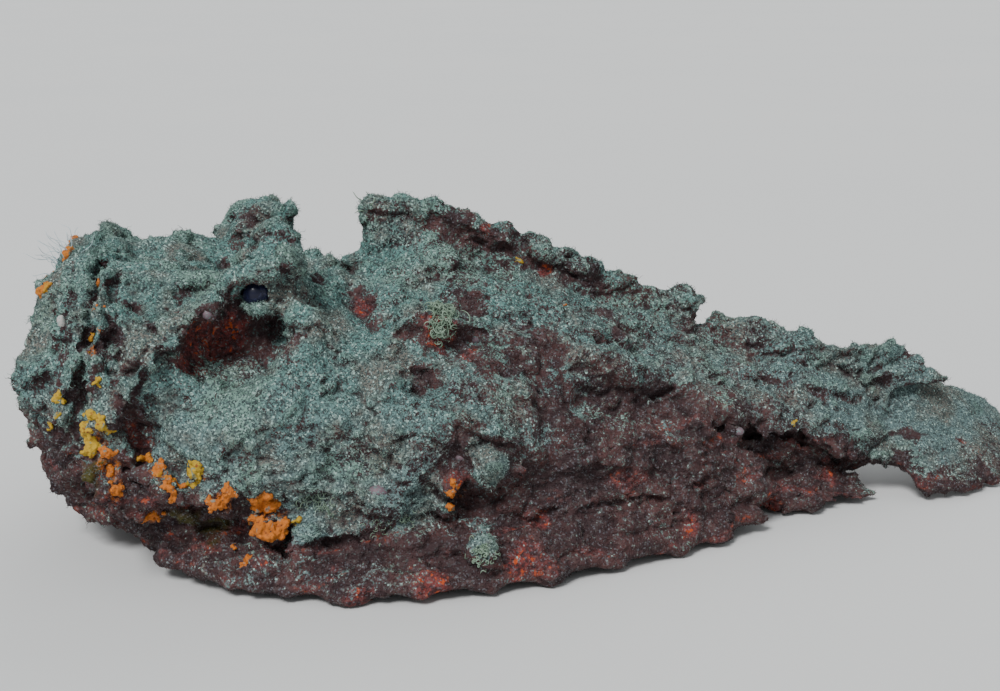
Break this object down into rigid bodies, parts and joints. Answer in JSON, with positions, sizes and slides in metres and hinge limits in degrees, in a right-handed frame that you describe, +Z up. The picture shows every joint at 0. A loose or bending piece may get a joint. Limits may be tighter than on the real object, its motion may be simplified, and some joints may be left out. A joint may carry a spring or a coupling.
{
  "type": "stonefish model",
  "caption": "Life-size still model of a stonefish at rest on its belly, with raised eyes, upturned mouth, warty skin and fleshy fins spread on the floor.",
  "frame": {"origin": "middle of the bounding box's bottom face, on the floor under the belly", "axes": "-X at the chin, +X towards the tail, -Y the left flank, +Z up"},
  "size_m": [0.3804, 0.1806, 0.1147],
  "materials": {
    "skin": "rough warty skin with silt and algae above and dark maroon beneath",
    "fin": "thick fleshy fin skin over raised rays",
    "eye": "wet dark eye"
  },
  "bodies": {
    "root": {"head": "skin", "lower_jaw": "skin", "trunk": "skin", "tail_stalk": "skin", "dorsal_fin_spiny": "fin", "dorsal_fin_soft": "fin", "anal_fin": "fin", "caudal_fin": "fin", "pectoral_fin_left": "fin", "pectoral_fin_right": "fin", "pelvic_fin_left": "fin", "pelvic_fin_right": "fin", "eye_left": "eye", "eye_right": "eye"}
  },
  "joints": []
}
